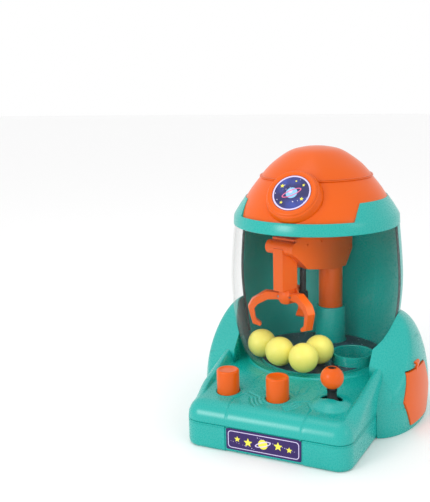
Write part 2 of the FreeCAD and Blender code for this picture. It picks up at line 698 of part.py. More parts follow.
def all_nodes():
    nodes = {
        "base_tray": base_tray(), "rubber_feet": rubber_feet(), "bottom_screws": bottom_screws(),
        "name_plate": name_plate(), "console_deck": console_deck(), "play_floor": play_floor(),
        "floor_sticker": floor_sticker(), "chute_ring": chute_ring(), "ball_ramp": ball_ramp(),
        "left_pod": left_pod(), "right_pod": right_pod(), "prize_door": prize_door(),
        "door_hinge_pin": door_hinge_pin(), "back_shell": back_shell(), "window": window(),
        "window_seal_left": window_seal(-1), "window_seal_right": window_seal(1), "collar": collar(),
        "nose_cone": nose_cone(), "nose_tip": nose_tip(), "porthole_boss": porthole_boss(),
        "porthole_sticker": porthole_sticker(), "column_tube": column_tube(), "drive_box": drive_box(),
        "drive_motor": drive_motor(), "guide_post": guide_post(), "lift_sleeve": lift_sleeve(),
        "arm_tube": arm_tube(), "boom_left": boom_half_shell(-1), "boom_right": boom_half_shell(1),
        "boom_screws": boom_screws(), "claw_carrier": claw_carrier(), "claw_hub": claw_hub(),
        "finger_pins": finger_pins(), "claw_rod": claw_rod(), "control_board": control_board(),
        "board_posts": board_posts(), "spring_seats": spring_seats(), "switches": switches(),
        "joystick_ball": joystick_ball(), "joystick_stem": joystick_stem(), "joystick_pin": joystick_pin(),
        "joystick_bracket": joystick_bracket(), "stick_switches": stick_switches(),
        "battery_box": battery_box(), "battery_cells": battery_cells(), "battery_contacts": battery_contacts(),
        "battery_door": battery_door(), "battery_door_screw": battery_door_screw(),
        "power_switch_body": power_switch_body(), "power_slider": power_slider(), "speaker": speaker(),
    }
    for name, (x, y) in button_places.items():
        nodes["button_" + name] = button(x, y)
        nodes["button_spring_" + name] = button_spring(x, y)
    for number, turn in enumerate(finger_turns, 1):
        nodes["finger_%d" % number] = finger(turn)
    nodes["prize_balls"] = Part.makeCompound([prize_ball(x, y) for x, y in ball_places])
    return nodes


os.makedirs("parts", exist_ok=True)
for node, shape in all_nodes().items():
    print(node, len(shape.Solids), round(shape.Volume), shape.isValid())
    shape.exportStep("parts/%s.step" % node)
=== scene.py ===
import json
import math
from contextlib import contextmanager

import bmesh
import bpy
import numpy as np
from mathutils import Matrix, Quaternion, Vector


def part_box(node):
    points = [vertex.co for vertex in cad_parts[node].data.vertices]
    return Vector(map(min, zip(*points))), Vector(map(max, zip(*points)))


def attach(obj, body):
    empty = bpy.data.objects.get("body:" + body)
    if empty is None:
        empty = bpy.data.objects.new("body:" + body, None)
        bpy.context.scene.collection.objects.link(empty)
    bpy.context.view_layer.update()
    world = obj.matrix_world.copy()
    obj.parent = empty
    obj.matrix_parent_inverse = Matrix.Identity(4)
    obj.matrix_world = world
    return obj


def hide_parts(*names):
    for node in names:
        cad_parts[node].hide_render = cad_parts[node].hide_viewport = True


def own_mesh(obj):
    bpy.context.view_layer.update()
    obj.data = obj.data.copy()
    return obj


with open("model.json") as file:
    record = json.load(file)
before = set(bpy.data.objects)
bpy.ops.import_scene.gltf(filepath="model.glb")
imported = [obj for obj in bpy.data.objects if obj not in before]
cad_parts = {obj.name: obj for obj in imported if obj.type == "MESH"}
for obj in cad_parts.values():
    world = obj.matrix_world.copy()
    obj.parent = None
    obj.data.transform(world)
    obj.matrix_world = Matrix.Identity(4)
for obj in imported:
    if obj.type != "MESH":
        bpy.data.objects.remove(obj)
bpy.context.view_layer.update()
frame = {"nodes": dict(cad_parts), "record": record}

MM = 0.001


# ---- what the frame says ----
record = frame["record"]
body_of = {node: body for body, nodes in record["behaviour"]["bodies"].items() for node in nodes}
slot_of = {part["node"]: part["material_slot"] for part in record["subparts"]}


def low(node):
    return Vector(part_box(node)[0]) / MM


def high(node):
    return Vector(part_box(node)[1]) / MM


def middle(node):
    return (low(node) + high(node)) / 2


def half_size(node, axis=0):
    return (high(node) - low(node))[axis] / 2


wall = 2.4
base_front = low("base_tray")[1]
base_back = high("base_tray")[1]
tray_top = high("base_tray")[2]
floor_top = high("play_floor")[2]
base_half = 80.0
corner = 15.0
sill_y = -12.0             # the console ends here, where the back shell starts
right_edge, left_edge = -1.0, 175.0  # angles from +X where window and back shell meet
joint_gap = 0.8            # degrees left for the seal on each side of that joint

# Outer radius of the round body by height: (height, radius).
belly_line = ((84, 82), (109, 85.6), (134.6, 86.9), (160, 85.6))
back_line = ((25.2, 85.6), (40, 80.5), (65, 79.5), *belly_line, (190.8, 82.6))
window_line = ((47.4, 60.5), (51, 67), (60, 75), *belly_line, (190.6, 82.6))
collar_line = ((190.9, 82.2), (191.6, 83.0), (200, 82.4), (203, 80.8), (211, 75.8), (218.4, 70.5))
nose_line = ((195, 79), (203, 78.4), (211, 74.6), (218.6, 69.3), (226.8, 63.9), (237.7, 55.2), (238.2, 54.4))
tip_line = ((238.3, 54.3), (238.8, 54.7), (250.5, 43.8), (262.3, 26.7), (266.3, 12.4), (267.3, 0.01))
collar_step_z, collar_step_x = 203.0, 56.8
pod_middle, pod_height = 78.0, 20.0
pod_radii = (35.8, 71.8, 85.8)


# ---- materials ----
def colour(code):
    """sRGB hex to linear RGBA."""
    parts = [int(code[i:i + 2], 16) / 255 for i in (0, 2, 4)]
    return [c / 12.92 if c <= 0.04045 else ((c + 0.055) / 1.055) ** 2.4 for c in parts] + [1.0]


def join(tree, made, **links):
    """Joins sockets to a node's inputs, by name with _ for a space, or by number as i0, i1."""
    for key, source in links.items():
        place = int(key[1:]) if key[0] == "i" and key[1:].isdigit() else key.replace("_", " ")
        tree.links.new(source, made.inputs[place])


def node(tree, kind, settings=None, **links):
    """Adds a node. Settings are attributes or input values; links are sockets joined to its inputs."""
    made = tree.nodes.new(kind)
    for key, value in (settings or {}).items():
        if isinstance(key, int) or key in made.inputs:
            made.inputs[key].default_value = value
        else:
            setattr(made, key, value)
    join(tree, made, **links)
    return made


def new_material(name, **shader):
    material = bpy.data.materials.new(name)
    material.use_nodes = True
    tree = material.node_tree
    principled = tree.nodes["Principled BSDF"]
    for key, value in shader.items():
        principled.inputs[key.replace("_", " ")].default_value = value
    return material, tree, principled


def object_space(tree, scale):
    """Object coordinates with a pattern repeat of so many millimetres."""
    place = node(tree, "ShaderNodeTexCoord").outputs["Object"]
    return node(tree, "ShaderNodeMapping", {"Scale": (1 / (scale * MM),) * 3}, Vector=place).outputs[0]


def moulded(name, code, roughness, grain=1.2, depth=0.02, shine=0.3, scatter=0.0):
    """Injection-moulded plastic: an even colour with a slight flow mottle, a faint orange-peel
    surface and gloss that varies a little from place to place."""
    material, tree, principled = new_material(
        name, IOR=1.53, Specular_IOR_Level=shine, Subsurface_Weight=scatter,
        Subsurface_Radius=(0.004, 0.003, 0.002))
    flow = node(tree, "ShaderNodeTexNoise", {"Scale": 1.0, "Detail": 1.0}, Vector=object_space(tree, 40))
    shade = node(tree, "ShaderNodeValToRGB", Fac=flow.outputs[0])
    for end, spot, gain in zip(shade.color_ramp.elements, (0.3, 0.7), (0.97, 1.03)):
        end.position = spot
        end.color = [min(1, c * gain) for c in colour(code)[:3]] + [1]
    peel = node(tree, "ShaderNodeTexNoise", {"Scale": 1.0, "Detail": 2.0}, Vector=object_space(tree, grain))
    rough = node(tree, "ShaderNodeMapRange", {"To Min": roughness - 0.02, "To Max": roughness + 0.03},
                 Value=peel.outputs[0])
    bump = node(tree, "ShaderNodeBump", {"Strength": 0.05, "Distance": depth * MM}, Height=peel.outputs[0])
    join(tree, principled, Base_Color=shade.outputs[0], Roughness=rough.outputs[0], Normal=bump.outputs[0])
    return material


def brushed_metal(name, code, roughness, scratch=0.35):
    """Plated or drawn steel: fine streaks across the surface break up its reflections."""
    material, tree, principled = new_material(name, Metallic=1.0, Roughness=roughness)
    streaks = node(tree, "ShaderNodeTexNoise", {"Scale": 1.0, "Detail": 4.0},
                   Vector=object_space(tree, scratch))
    dull = [c * 0.8 for c in colour(code)[:3]] + [1]
    shade = node(tree, "ShaderNodeMix", {"data_type": "RGBA", 6: dull, 7: colour(code)},
                 i0=streaks.outputs[0])
    bump = node(tree, "ShaderNodeBump", {"Strength": 0.15, "Distance": 0.02 * MM}, Height=streaks.outputs[0])
    join(tree, principled, Base_Color=shade.outputs[2], Normal=bump.outputs[0])
    return material


def clear_styrene():
    """Clear moulded polystyrene: nearly invisible face on and glossy; the pale grey where it curves away is a
    painted reflection of the bright surroundings.
    """
    material, tree, principled = new_material("clear moulded polystyrene", IOR=1.49, Roughness=0.06)
    edge = node(tree, "ShaderNodeLayerWeight", {"Blend": 0.35})
    haze = node(tree, "ShaderNodeTexNoise", {"Scale": 1.0, "Detail": 2.0}, Vector=object_space(tree, 40))
    painted_reflection_grey = node(tree, "ShaderNodeMix", {"data_type": "RGBA", 6: colour("a3ada8"), 7: colour("bcc5c1")},
                i0=haze.outputs[0])
    # Painted reflection: the grey turns more opaque where the surface turns away from the eye, in place of
    # the bright room it would reflect.
    curve = node(tree, "ShaderNodeMath", {"operation": "POWER", 1: 3.0}, i0=edge.outputs["Facing"])
    painted_reflection_alpha = node(tree, "ShaderNodeMapRange", {"To Min": 0.012, "To Max": 0.4}, Value=curve.outputs[0])
    join(tree, principled, Base_Color=painted_reflection_grey.outputs[2], Alpha=painted_reflection_alpha.outputs[0])
    return material


def star_print(name, ground, cloud, cell):
    """Printed film: a dark ground with soft cloudy patches and a fine sprinkle of pale dots."""
    material, tree, principled = new_material(name, Roughness=0.32, IOR=1.5, Coat_Weight=0.3)
    fog = node(tree, "ShaderNodeTexNoise", {"Scale": 1.0, "Detail": 5.0}, Vector=object_space(tree, cell * 6))
    shade = node(tree, "ShaderNodeValToRGB", Fac=fog.outputs[0])
    for end, spot, code in zip(shade.color_ramp.elements, (0.42, 0.7), (ground, cloud)):
        end.position = spot
        end.color = colour(code)
    dots = node(tree, "ShaderNodeTexVoronoi", {"Scale": 1.0}, Vector=object_space(tree, cell))
    small = node(tree, "ShaderNodeMath", {"operation": "LESS_THAN", 1: 0.13}, i0=dots.outputs["Distance"])
    mixed = node(tree, "ShaderNodeMix", {"data_type": "RGBA", 7: colour("d8d6ea")}, i0=small.outputs[0],
                 i6=shade.outputs[0])
    join(tree, principled, Base_Color=mixed.outputs[2])
    return material


TEAL = moulded("glossy teal ABS", "0ca89f", 0.27, shine=0.5)
ORANGE = moulded("glossy orange ABS", "e05c02", 0.3)
BLACK = moulded("satin black ABS", "17181a", 0.38)
SEAL = moulded("dark grey soft seal", "3a4345", 0.5)
WHITE = moulded("satin white acetal", "e6e4dd", 0.42)
YELLOW = moulded("pale yellow hollow polyethylene", "f2ea72", 0.34, scatter=0.12)
RUBBER = moulded("matt black rubber", "1d1d1f", 0.8, grain=0.6, depth=0.05)
BOARD = moulded("green solder-masked board", "1f5f3b", 0.45, grain=0.5)
CELL = moulded("printed cell wrap", "35506a", 0.3)
ZINC = brushed_metal("zinc-plated steel", "b9bcc0", 0.32)
WIRE = brushed_metal("drawn spring steel", "8f9296", 0.28, scratch=0.2)
CLEAR = clear_styrene()
FLOOR_FILM = star_print("printed floor film", "1f1d33", "39405a", 5.0)
NOSE_FILM = star_print("printed nose film", "1c1c5c", "3a4fb0", 3.6)
PLATE_FILM = moulded("printed plate film", "34205f", 0.35)
LILAC_INK = moulded("pale lilac ink", "d9cdf0", 0.4)
YELLOW_INK = moulded("yellow ink", "f4ea55", 0.4)
PINK_INK = moulded("pink ink", "e2709a", 0.4)
BLUE_INK = moulded("light blue ink", "8fc6ee", 0.4)

finish_of = {
    "teal_abs": TEAL, "orange_abs": ORANGE, "dark_abs": BLACK, "white_abs": WHITE, "clear_ps": CLEAR,
    "print_film": FLOOR_FILM, "ball_plastic": YELLOW, "rubber": RUBBER, "zinc_steel": ZINC,
    "spring_steel": WIRE, "board": BOARD, "cell_wrap": CELL,
}


# ---- making pieces ----
def add_object(name, data):
    made = bpy.data.objects.new(name, data)
    bpy.context.scene.collection.objects.link(made)
    return made


@contextmanager
def reshaping(mesh):
    """Opens a mesh for changes and writes it back."""
    work = bmesh.new()
    work.from_mesh(mesh)
    yield work
    work.to_mesh(mesh)
    work.free()


def piece(name, points, faces, material, at=None, outward_from=None, thick=0.0, bevel=0.0, angle=35.0):
    """A mesh from points in millimetres, moved by a matrix. outward_from is a point behind the surface,
    which sets which way its faces look. thick adds a wall behind it and bevel softens its edges."""
    if at is not None:
        points = [at @ Vector(p) for p in points]
    mesh = bpy.data.meshes.new(name)
    mesh.from_pydata([tuple(c * MM for c in p) for p in points], [], faces)
    made = add_object(name, mesh)
    with reshaping(mesh) as work:
        bmesh.ops.remove_doubles(work, verts=work.verts, dist=0.01 * MM)
        bmesh.ops.dissolve_degenerate(work, edges=work.edges, dist=0.004 * MM)
        bmesh.ops.recalc_face_normals(work, faces=work.faces)
        if outward_from is not None:
            centre = Vector(outward_from) * MM
            total = sum((f.calc_center_median() - centre).dot(f.normal) * f.calc_area() for f in work.faces)
            if total < 0:
                bmesh.ops.reverse_faces(work, faces=work.faces)
    mesh.materials.append(material)
    if thick:
        shell = made.modifiers.new("wall", "SOLIDIFY")
        shell.thickness = thick * MM
        shell.offset = -1
    if bevel:
        soften(made, bevel)
    smooth(made, angle)
    return made


def soften(made, width):
    edge = made.modifiers.new("edges", "BEVEL")
    edge.width = width * MM
    edge.segments = 2
    edge.limit_method = "ANGLE"
    edge.angle_limit = math.radians(40)
    edge.harden_normals = True


def smooth(made, angle):
    """Smooth faces, with an edge kept sharp where two faces turn by more than an angle."""
    with reshaping(made.data) as work:
        for f in work.faces:
            f.smooth = True
        for e in work.edges:
            e.smooth = e.calc_face_angle(0) < math.radians(angle)


def stands_for(made, *nodes):
    """The piece takes the place and body of these CAD nodes."""
    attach(made, body_of[nodes[0]])
    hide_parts(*nodes)
    return made


def goes_with(made, node_name):
    """A further piece that moves with a CAD node and leaves it shown."""
    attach(made, body_of[node_name])
    return made


def from_cad(name, bevel):
    """The CAD node's own shape with its edges softened."""
    mesh = frame["nodes"][name].data.copy()
    made = add_object(name + "_made", mesh)
    with reshaping(mesh) as work:
        bmesh.ops.remove_doubles(work, verts=work.verts, dist=0.005 * MM)
        bmesh.ops.dissolve_limit(work, angle_limit=math.radians(1), verts=work.verts, edges=work.edges)
    mesh.materials.clear()
    mesh.materials.append(finish_of[slot_of[name]])
    smooth(made, 32)
    if bevel:
        soften(made, bevel)
    return stands_for(made, name)


def through(line, steps):
    """Points on a smooth curve through a profile of (height, radius), returned as (radius, height)."""
    spots = np.array([(r, z) for z, r in line], float)
    result = []
    for i in range(len(spots) - 1):
        a, b = spots[max(i - 1, 0)], spots[i]
        c, d = spots[i + 1], spots[min(i + 2, len(spots) - 1)]
        for k in range(steps):
            t = k / steps
            result.append(0.5 * (2 * b + (c - a) * t + (2 * a - 5 * b + 4 * c - d) * t * t
                                 + (3 * b - a - 3 * c + d) * t ** 3))
    result.append(spots[-1])
    return [tuple(p) for p in result]


def ring_faces(rings, count, whole=True, first=0):
    """Faces between rings that follow one another, each with the same number of points."""
    faces = []
    for i in range(rings - 1):
        row = first + i * count
        for k in range(count if whole else count - 1):
            n = (k + 1) % count
            faces.append((row + k, row + n, row + count + n, row + count + k))
    return faces


def arc(radius, start, end, steps, x=0.0, y=0.0):
    """Points along an arc about a centre, from its first angle to its last, in degrees."""
    angles = [math.radians(start + (end - start) * k / steps) for k in range(steps + 1)]
    return [(x + radius * math.cos(a), y + radius * math.sin(a)) for a in angles]


def turned(profile, start=0.0, sweep=360.0, steps=128, centre=(0, 0)):
    """Points and faces of a profile of (radius, height) turned about Z. Angles in degrees from +X."""
    whole = sweep >= 360
    count = steps if whole else steps + 1
    points = []
    for r, z in profile:
        ring = arc(r, start, start + sweep, steps, centre[0], centre[1])
        points += [(x, y, z) for x, y in ring[:count]]
    return points, ring_faces(len(profile), count, whole)


def closed(profile, **more):
    """A turned solid whose profile starts and ends on the axis."""
    return turned([(max(r, 0.001), z) for r, z in profile], **more)


def rounded(radius, z0, z1, edge, steps=4):
    """Profile of a round pin with softened edges, from the axis at the bottom to the axis at the top."""
    foot = arc(edge, -90, 0, steps, radius - edge, z0 + edge)
    head = arc(edge, 0, 90, steps, radius - edge, z1 - edge)
    return [(0, z0)] + foot + head + [(0, z1)]


def grid_faces(rows, columns, keep=None):
    faces = []
    for i in range(rows - 1):
        for k in range(columns - 1):
            if keep is None or keep(i, k):
                a = i * columns + k
                faces.append((a, a + 1, a + columns + 1, a + columns))
    return faces


def groove(distance, depth=0.55, half_width=0.6):
    """How much a moulded line lowers the surface at a distance from its middle."""
    return -depth * np.exp(-(distance / half_width) ** 2)


def to_segment(x, y, x0, y0, x1, y1):
    """Distance from points to a straight line between two places."""
    along = np.clip(((x - x0) * (x1 - x0) + (y - y0) * (y1 - y0)) / ((x1 - x0) ** 2 + (y1 - y0) ** 2), 0, 1)
    return np.hypot(x - x0 - along * (x1 - x0), y - y0 - along * (y1 - y0))


def to_arc(x, y, cx, cy, radius, start, end):
    """Distance from points to an arc, with angles in degrees."""
    angle = np.degrees(np.arctan2(y - cy, x - cx)) % 360
    inside = (angle >= start) & (angle <= end)
    miss = np.abs(np.hypot(x - cx, y - cy) - radius)
    return np.where(inside, miss, 99.0)


# ---- repeated small shapes, made by Geometry Nodes ----
def new_tree(name, **inputs):
    """A Geometry Nodes tree with named inputs of these kinds, its start node and its input sockets."""
    tree = bpy.data.node_groups.new(name, "GeometryNodeTree")
    sockets = {label: tree.interface.new_socket(label, in_out="INPUT", socket_type="NodeSocket" + kind)
               for label, kind in inputs.items()}
    tree.interface.new_socket("Geometry", in_out="OUTPUT", socket_type="NodeSocketGeometry")
    return tree, node(tree, "NodeGroupInput"), sockets


def grown(made, tree, shape, material, values):
    """Ends a tree with a material and runs it on an object with (socket, value) pairs, which leaves
    the object a plain mesh."""
    painted = node(tree, "GeometryNodeSetMaterial", {"Material": material}, Geometry=shape)
    node(tree, "NodeGroupOutput", i0=painted.outputs[0])
    maker = made.modifiers.new("maker", "NODES")
    maker.node_group = tree
    for socket, value in values:
        maker[socket.identifier] = value
    mesh = bpy.data.meshes.new_from_object(made.evaluated_get(bpy.context.evaluated_depsgraph_get()))
    made.modifiers.remove(maker)
    made.data = mesh
    if not mesh.materials:
        mesh.materials.append(material)


def repeated(name, places, shape, material):
    """Copies of a shape at places of (position, turn about Z, size), as one plain mesh."""
    cloud = bpy.data.meshes.new(name)
    cloud.from_pydata([tuple(c * MM for c in p) for p, turn, size in places], [], [])
    for column, label in enumerate(("turn", "size"), start=1):
        values = [place[column] for place in places]
        cloud.attributes.new(label, "FLOAT", "POINT").data.foreach_set("value", values)
    carrier = add_object(name, cloud)
    tree, start, sockets = new_tree(name + " copies", Geometry="Geometry", Shape="Object", Scale="Float")
    source = node(tree, "GeometryNodeObjectInfo", Object=start.outputs["Shape"])
    turn = node(tree, "GeometryNodeInputNamedAttribute", {"data_type": "FLOAT", "Name": "turn"})
    size = node(tree, "GeometryNodeInputNamedAttribute", {"data_type": "FLOAT", "Name": "size"})
    spin = node(tree, "ShaderNodeCombineXYZ", Z=turn.outputs[0])
    grow = node(tree, "ShaderNodeMath", {"operation": "MULTIPLY"}, i0=size.outputs[0],
                i1=start.outputs["Scale"])
    copies = node(tree, "GeometryNodeInstanceOnPoints", Points=start.outputs[0],
                  Instance=source.outputs["Geometry"], Rotation=spin.outputs[0], Scale=grow.outputs[0])
    solid = node(tree, "GeometryNodeRealizeInstances", Geometry=copies.outputs[0])
    grown(carrier, tree, solid.outputs[0], material, ((sockets["Shape"], shape), (sockets["Scale"], 1.0)))
    bpy.data.objects.remove(shape)
    smooth(carrier, 35)
    return carrier


def pattern(name, points, faces):
    """A shape that is only copied. It is removed once the copies are made."""
    return piece(name, points, faces, ZINC)


# ---- base ----
def half_width(y):
    """Half of the base's width at a distance from the front."""
    return base_half + 6.0 * np.clip((y - base_front - corner) / -(base_front + corner), 0, 1)


def outline(inset, step=2.0):
    """Plan of the base as a closed ring of points, with the middle panel set back at the front."""
    half, front = base_half - inset, base_front + inset
    radius, back = corner - inset, base_back - inset
    panel, slope, setback = 37.8, 0.5, 1.0
    flat = half - radius
    places = set(np.arange(-flat, flat + 0.01, step)) | {-panel, slope - panel, panel - slope, panel}
    ring = [(x, front + setback * (abs(x) < panel - 0.8 * slope)) for x in sorted(places)]
    right = arc(radius, -90, 0, 12, flat, front + radius)[1:-1]
    side_rows = int(-(front + radius) / step)
    for k in range(side_rows + 1):
        t = k / side_rows
        right.append((half + (back - half) * t, (front + radius) * (1 - t)))
    left = [(-x, y) for x, y in reversed(right)]
    return ring + right + arc(back, 0, 180, 80)[1:-1] + left


def tray_skin():
    """Lower half of the base: rounded foot, plain wall, and the stepped lip at the parting line."""
    rows = [(4.0, 0.0), (1.6, 0.5), (0.6, 1.5), (0.1, 3.2), (0, 5), (0, 14), (0, 22.6), (0.5, 23.0),
            (0.5, 23.7), (0, 24.1), (0, 24.6), (0.7, 25.0), (wall, 25.0), (wall, 14), (wall, 3.0)]
    points = [(x, y, z) for inset, z in rows for x, y in outline(inset)]
    way_left, way_floor = 60.0, 4.5
    way_low, way_high = low("ball_ramp")[1], high("ball_ramp")[1]

    def open_way(face):
        xs, ys, zs = zip(*(points[i] for i in face))
        return min(xs) > way_left and min(ys) > way_low and max(ys) < way_high and min(zs) > way_floor

    faces = [f for f in ring_faces(len(rows), len(points) // len(rows)) if not open_way(f)]
    return piece("tray_skin", points, faces, TEAL, angle=30)


def bottom_plate():
    """Flat underside with the battery door's opening."""
    centre, gap = middle("battery_door"), 0.3
    half_x, half_y = half_size("battery_door") + gap, half_size("battery_door", 1) + gap
    outer = outline(4.0)
    inner = []
    for x, y in outer:
        angle = math.atan2(y - centre.y, x)
        across = half_x / max(abs(math.cos(angle)), 1e-6)
        down = half_y / max(abs(math.sin(angle)), 1e-6)
        reach = min(across, down)
        inner.append((centre.x + reach * math.cos(angle), centre.y + reach * math.sin(angle)))
    rings = ((outer, 0), (inner, 0), (inner, wall), (outer, wall))
    points = [(x, y, z) for ring, z in rings for x, y in ring]
    return piece("bottom_plate", points, ring_faces(len(rings), len(outer)), TEAL, angle=30)


stick = middle("joystick_pin")
buttons = [middle("button_left"), middle("button_middle")]
button_radius = 10.7


def soft_higher(a, b, soft):
    """The higher of two surfaces, with the crease between them rounded."""
    return soft * np.log(np.exp(a / soft) + np.exp(b / soft))


def deck_shape(x, y):
    """Height of the console's top at places in plan, with its rails, bulge and moulded lines."""
    ramp = np.interp(y, (base_front, -127, -70, 0), (42.4, 43.6, 49, 49.2))
    rail = np.interp(y, (base_front, base_front + 6, -56, -40, 0), (36, 40, 60.6, 63.6, 65.6))
    rail_foot, rail_foot_z, rail_slope, rail_soft = 68, 38, 3.2, 1.3
    slope = rail_foot_z + (np.abs(x) - rail_foot) * rail_slope
    top = soft_higher(ramp, -soft_higher(-rail, -slope, rail_soft), rail_soft)
    side = half_width(y) - np.abs(x)
    nose_x, nose_y = np.abs(x) - (base_half - corner), base_front + corner - y
    in_corner = (nose_x > 0) & (nose_y > 0)
    reach = np.where(in_corner, corner - np.hypot(nose_x, nose_y), np.minimum(side, y - base_front))
    turn = np.clip((y - (base_front + 18)) / 30, 0, 1)
    front_radius, side_radius, crown = 16, 7, 6
    radius = front_radius - (front_radius - side_radius) * turn * turn * (3 - 2 * turn)
    inner = np.clip(radius - np.clip(reach, 0, None), 0, None)
    top = top - (radius - np.sqrt(np.clip(radius ** 2 - inner ** 2, 0, None)))
    top = top - np.clip(crown - side, 0, crown) ** 2 * 0.02
    dome_radius, dome_top, dome_soft = 24, 52.4, 1.2
    away = np.hypot(x - stick[0], y - stick[1])
    dome = dome_top - dome_radius + np.sqrt(np.clip(dome_radius ** 2 - away ** 2, 0, None))
    top = np.where(away < dome_radius - 1, soft_higher(dome, top, dome_soft), top)
    sill = np.hypot(x, y)
    top = top + 1.7 * np.exp(-((sill - 69.6) / 1.7) ** 2) * (y < sill_y)
    for centre in buttons:
        away = np.hypot(x - centre[0], y - centre[1])
        top = top + 0.5 * np.exp(-((away - 12.2) / 0.7) ** 2)
    return top + moulded_lines(x, y)


def moulded_lines(x, y):
    """Panel seams, the feathers each side of the middle button and the small hooks behind it."""
    bx, by = buttons[1][0], buttons[1][1]
    total = groove(to_arc(x, y, bx, by, 16.5, 25, 155), 0.7, 0.8)
    for side in (-1, 1):
        seam = to_segment(x, y, side * 36.4, base_front, side * 37.6, -124)
        seam = np.minimum(seam, to_segment(x, y, side * 37.6, -124, side * 31, -114))
        total += groove(seam, 0.9, 0.7)
        total += groove(to_segment(x, y, side * 34, -88, side * 30, -68), 0.5)
        angles = (192, 236) if side < 0 else (304, 348)
        for radius in (18.0, 21.5, 25.0):
            total += groove(to_arc(x, y, bx, by, radius, *angles), 1.0, 0.9)
        total += groove(to_segment(x, y, bx + side * 17.5, by - 3, bx + side * 30, by + 3), 0.7, 0.8)
        hook_x, hook_y, hook_radius = bx + side * 17.5, by + 17, 3.6
        for leg in (hook_x - hook_radius, hook_x + hook_radius):
            total += groove(to_segment(x, y, leg, hook_y, leg, hook_y + 12), 0.8, 0.8)
        total += groove(to_arc(x, y, hook_x, hook_y, hook_radius, 180, 360), 0.8, 0.8)
    return total


def snapped(x, y, cx, cy, radius, spacing):
    """Moves the points nearest to a circle onto it, so that a hole's edge is clean."""
    away = np.hypot(x - cx, y - cy)
    near = np.abs(away - radius) < spacing * 0.55
    factor = np.where(near, radius / np.maximum(away, 0.001), 1.0)
    return cx + (x - cx) * factor, cy + (y - cy) * factor


def console_skin():
    """Upper half of the base as one draped surface with a skirt down to the parting line."""
    spacing = 0.75
    columns = int(2 * base_half / spacing)
    rows = int((sill_y - base_front) / spacing)
    edge_rows = [base_front + e for e in (0, 0.12, 0.3, 0.6)]
    ys = np.array(edge_rows + list(np.linspace(base_front + 1, sill_y, rows)))
    spread = np.linspace(-1, 1, columns)
    spread = np.sign(spread) * (1 - (1 - np.abs(spread)) ** 1.08)
    to_corner = np.clip(corner - (ys - base_front), 0, None)
    half = half_width(ys) - corner + np.sqrt(corner ** 2 - to_corner ** 2)
    x = spread[None, :] * half[:, None]
    y = np.repeat(ys[:, None], columns, 1)
    hole, floor_hole = button_radius + 0.3, 60.2
    for centre in buttons:
        x, y = snapped(x, y, centre[0], centre[1], hole, spacing)
    x, y = snapped(x, y, 0, 0, floor_hole, spacing)
    z = deck_shape(x, y)
    slot_x, slot_y = 10.5, 5.2

    def open_place(i, k):
        px, py = x[i:i + 2, k:k + 2].mean(), y[i:i + 2, k:k + 2].mean()
        if any(math.hypot(px - c[0], py - c[1]) < hole for c in buttons):
            return True
        if math.hypot(px, py) < floor_hole:
            return True
        across = max(abs(px - stick[0]) - (slot_x - slot_y), 0)
        return math.hypot(across, py - stick[1]) < slot_y

    total_rows, total_columns = x.shape
    points = [(x[i, k], y[i, k], z[i, k]) for i in range(total_rows) for k in range(total_columns)]
    faces = grid_faces(total_rows, total_columns, lambda i, k: not open_place(i, k))
    rim = [i * total_columns for i in range(total_rows - 1, 0, -1)]
    rim += list(range(total_columns))
    rim += [i * total_columns + total_columns - 1 for i in range(1, total_rows)]
    below = len(points)
    levels = ((0.0, 27.6), (0.55, 27.2), (0.55, 26.6), (0.0, 26.2), (0.0, 25.6), (0.5, 25.2))
    for inset, level in levels:
        for index in rim:
            px, py, pz = points[index]
            shrink = inset / max(abs(px), 30)
            points.append((px * (1 - shrink), py + inset * (py < base_front + 10), min(level, pz - 0.4)))
    faces += [(rim[k], rim[k + 1], below + k + 1, below + k) for k in range(len(rim) - 1)]
    faces += ring_faces(len(levels), len(rim), whole=False, first=below)
    skin = piece("console_skin", points, faces, TEAL, outward_from=(0, -80, 0), thick=1.8, angle=40)
    return stands_for(skin, "console_deck")


def sill_ring():
    """Ledge that the window stands on, from the console's inner edge down to the play floor."""
    line = ((60.4, 49.2), (59.6, 49.0), (57.4, 47.4), (57.4, 44.0))
    return piece("sill_ledge", *turned(line, start=180, sweep=180), TEAL, outward_from=(0, 0, -60), thick=0.8)


def star_outline(radius, points=5, inner=0.45):
    ring = []
    for k in range(points * 2):
        r = radius if k % 2 == 0 else radius * inner
        a = math.pi * k / points + math.pi / 2
        ring.append((r * math.cos(a), r * math.sin(a)))
    return ring


def disc_outline(radius, steps=24):
    return arc(radius, 0, 360, steps)[:-1]


ink_depth = 0.08


def slab(ring, thickness=ink_depth):
    """Points and faces of a flat shape with a thickness along Z, from a ring in the XY plane."""
    count = len(ring)
    points = [(x, y, z) for z in (0, thickness) for x, y in ring]
    return points, [tuple(range(count))[::-1], tuple(range(count, 2 * count))] + ring_faces(2, count)


def band(outer, inner, thickness=ink_depth):
    """A flat band between two rings with the same number of points."""
    rings = ((outer, 0), (inner, 0), (inner, thickness), (outer, thickness), (outer, 0))
    return [(x, y, z) for ring, z in rings for x, y in ring], ring_faces(len(rings), len(outer))


def rounded_rectangle(half_x, half_y, radius, steps=6):
    ring = []
    for cx, cy, start in ((1, 1, 0), (-1, 1, 90), (-1, -1, 180), (1, -1, 270)):
        ring += arc(radius, start, start + 90, steps, cx * (half_x - radius), cy * (half_y - radius))
    return ring


def ellipse_ring(a, b, turn, steps=40):
    """Ellipse with half-lengths a and b, turned by an angle in radians."""
    spin = Matrix.Rotation(turn, 2)
    return [tuple(spin @ Vector((a * x, b * y))) for x, y in disc_outline(1.0, steps)]


def printed(name, shape, ink, sheet, node_name, x=0.0, y=0.0, lift=0.0):
    """An inked shape at a place on a printed sheet."""
    goes_with(piece(name, *shape, ink, at=sheet @ Matrix.Translation((x, y, lift))), node_name)


